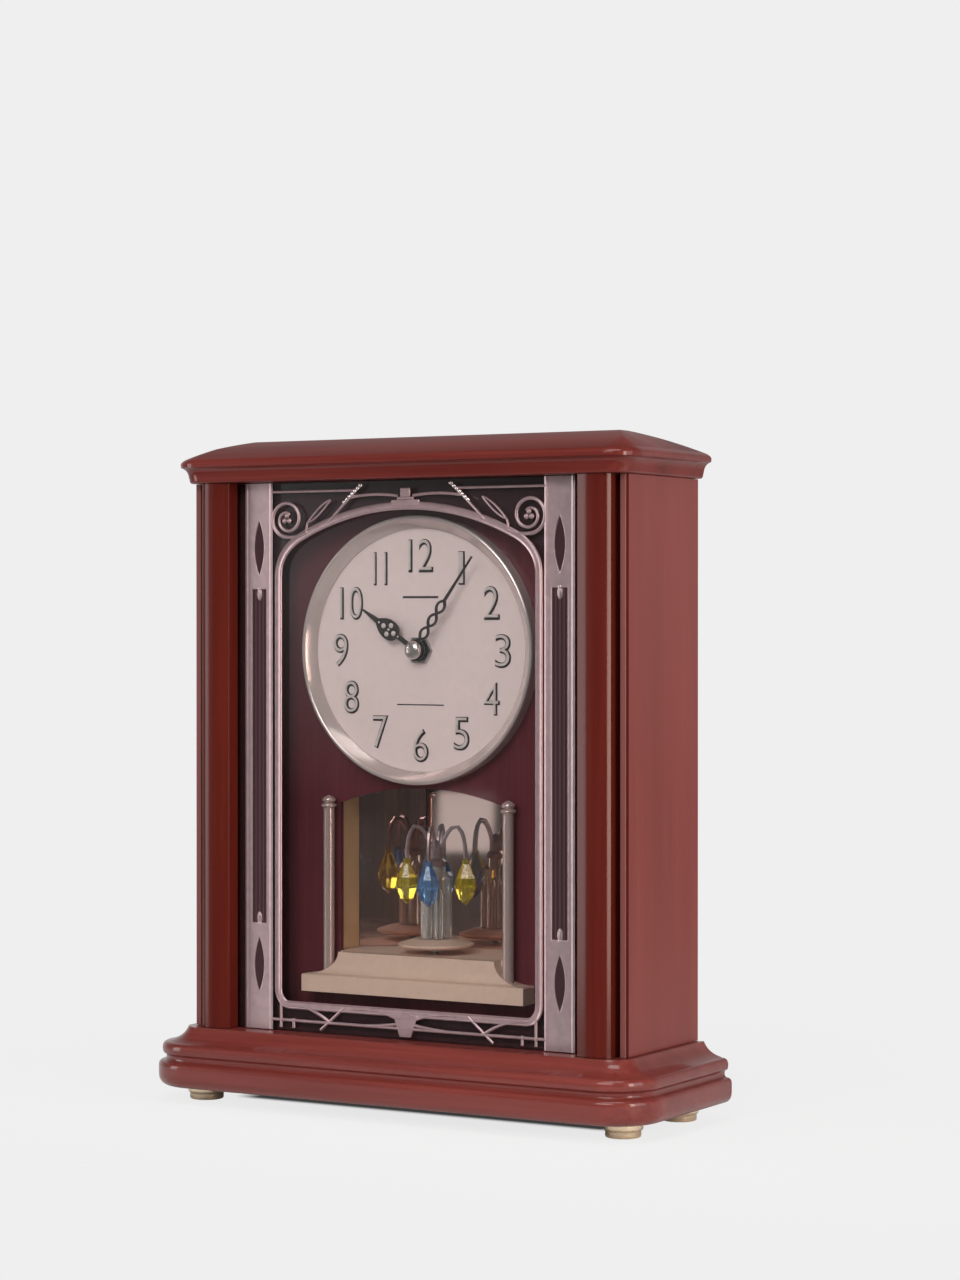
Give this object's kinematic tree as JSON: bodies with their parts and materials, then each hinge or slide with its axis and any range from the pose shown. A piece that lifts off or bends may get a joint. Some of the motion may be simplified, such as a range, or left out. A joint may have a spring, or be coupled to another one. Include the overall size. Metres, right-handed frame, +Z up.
{
  "type": "desk clock",
  "caption": "Upright wooden desk clock: silver tracery on a glass front, a round silver dial with pierced hands, and a turning crystal pendulum in a mirrored niche below.",
  "frame": {"origin": "on the ground under the middle of the case's bounding box", "axes": "+X to the viewer's right seen from the front, +Y from the glass front to the back, +Z up"},
  "size_m": [0.2636, 0.0914, 0.31],
  "materials": {
    "mahogany": "high gloss lacquer over red-brown wood",
    "cornice": "high gloss lacquer over red-brown wood",
    "dark_board": "satin dark red-brown lacquer",
    "black_board": "matt dark stain",
    "silver": "soft silver plate",
    "dial_silver": "satin silver print",
    "champagne": "satin champagne silver",
    "brass": "polished",
    "steel": "bright",
    "hand_black": "satin black paint",
    "plastic": "fine grain",
    "white_plastic": "smooth",
    "glass": "clear",
    "mirror": "bronze tinted mirror",
    "bronze_mirror": "gold-brown mirror",
    "clear_crystal": "cut and polished",
    "blue_crystal": "cut and polished",
    "amber_crystal": "cut and polished",
    "cell_body": "plain wrapper"
  },
  "bodies": {
    "case": {"base_plinth": "mahogany", "top_cornice": "cornice", "foot_front_left": "brass", "foot_rear_left": "brass", "foot_front_right": "brass", "foot_rear_right": "brass", "side_panel_left": "mahogany", "side_panel_right": "mahogany", "corner_column_left": "mahogany", "corner_column_right": "mahogany", "front_glass": "glass", "glass_tracery": "silver", "glass_stop_left": "dark_board", "glass_stop_right": "dark_board", "dial_board": "dark_board", "dial_plate": "dial_silver", "dial_bezel": "silver", "dial_nut": "steel", "step_motor": "plastic", "movement_case": "plastic", "movement_cover": "plastic", "battery_cell": "cell_body", "niche_wall_left": "bronze_mirror", "niche_wall_right": "bronze_mirror", "niche_mirror_left": "mirror", "niche_mirror_right": "mirror", "niche_mirror_back": "mirror", "niche_floor": "champagne", "niche_ceiling": "black_board", "stage_sill": "champagne", "sill_post_left": "silver", "sill_post_right": "silver", "pendulum_motor": "steel", "drive_case": "plastic", "back_board": "black_board", "hinge_frame_leaf_lower": "brass", "hinge_frame_leaf_upper": "brass", "door_magnet": "plastic"},
    "minute": {"minute_hand": "hand_black", "hand_cap": "silver", "minute_arbor": "steel"},
    "hour": {"hour_hand": "hand_black", "hour_wheel": "brass"},
    "setting": {"minute_wheel": "brass", "set_knob": "white_plastic"},
    "drive": {"drive_pinion": "steel"},
    "pendulum": {"pendulum_spindle": "steel", "pendulum_base": "champagne", "crystal_column": "clear_crystal", "pendulum_crown": "silver", "crystal_drop_1": "blue_crystal", "crystal_drop_2": "amber_crystal", "crystal_drop_3": "blue_crystal", "crystal_drop_4": "amber_crystal"},
    "pendulum_drive": {"motor_pinion": "brass"},
    "door": {"rear_door": "black_board", "hinge_door_leaf_lower": "brass", "hinge_door_leaf_upper": "brass", "door_knob": "brass"}
  },
  "joints": [
    {"name": "minute_spin", "type": "hinge", "parent": "case", "child": "minute", "pos_m": [0, -0.01, 0.2118], "axis": [0, 1, 0], "continuous": true},
    {"name": "hour_spin", "type": "hinge", "parent": "case", "child": "hour", "pos_m": [0, -0.01, 0.2118], "axis": [0, 1, 0], "continuous": true},
    {"name": "setting_spin", "type": "hinge", "parent": "case", "child": "setting", "pos_m": [0, 0, 0.2258], "axis": [0, 1, 0], "continuous": true},
    {"name": "drive_spin", "type": "hinge", "parent": "case", "child": "drive", "pos_m": [-0.012, 0, 0.2118], "axis": [0, 1, 0], "continuous": true},
    {"name": "pendulum_spin", "type": "hinge", "parent": "case", "child": "pendulum", "pos_m": [0, 0.00598, 0.08], "axis": [0, 0, 1], "continuous": true},
    {"name": "motor_spin", "type": "hinge", "parent": "case", "child": "pendulum_drive", "pos_m": [0.01, 0.00598, 0.06], "axis": [0, 0, 1], "continuous": true},
    {"name": "door_hinge", "type": "hinge", "parent": "case", "child": "door", "pos_m": [-0.0619, 0.04255, 0.18], "axis": [0, 0, 1], "range_deg": [0, 105]}
  ],
  "couplings": [
    {"joint": "hour_spin", "follows": "minute_spin", "ratio": 0.083333},
    {"joint": "setting_spin", "follows": "minute_spin", "ratio": -0.33333},
    {"joint": "drive_spin", "follows": "minute_spin", "ratio": -3},
    {"joint": "motor_spin", "follows": "pendulum_spin", "ratio": -3}
  ]
}
